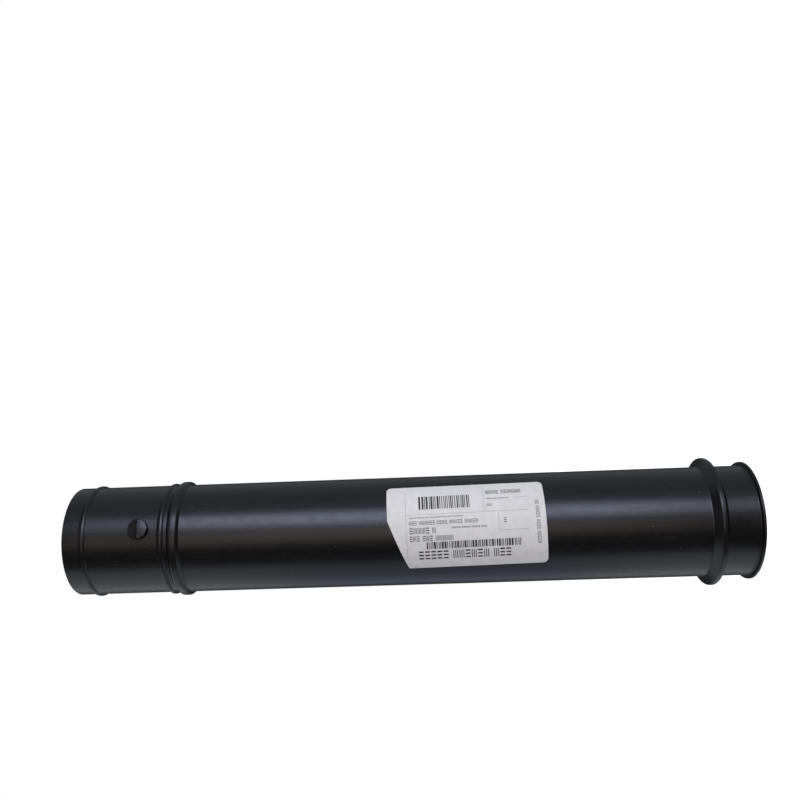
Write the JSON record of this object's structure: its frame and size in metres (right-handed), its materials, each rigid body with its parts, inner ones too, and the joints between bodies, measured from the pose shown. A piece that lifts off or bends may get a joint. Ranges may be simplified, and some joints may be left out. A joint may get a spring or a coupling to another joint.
{
  "type": "leaf blower tube",
  "caption": "Straight blow-moulded air tube for a leaf blower, with a lipped hose neck and hose stop at one end, a ringed bayonet spigot at the other, and a paper label.",
  "frame": {"origin": "centre of the lip's end face, which the tube stands on", "axes": "+Z along the tube towards the bayonet spigot, -Y out through one bayonet lug, +X to the right when the label is seen with the spigot up"},
  "size_m": [0.0814, 0.0814, 0.4324],
  "materials": {
    "black_plastic": "satin",
    "label_paper": "matte"
  },
  "bodies": {
    "root": {"blower_tube": "black_plastic", "paper_label": "label_paper"}
  },
  "joints": []
}
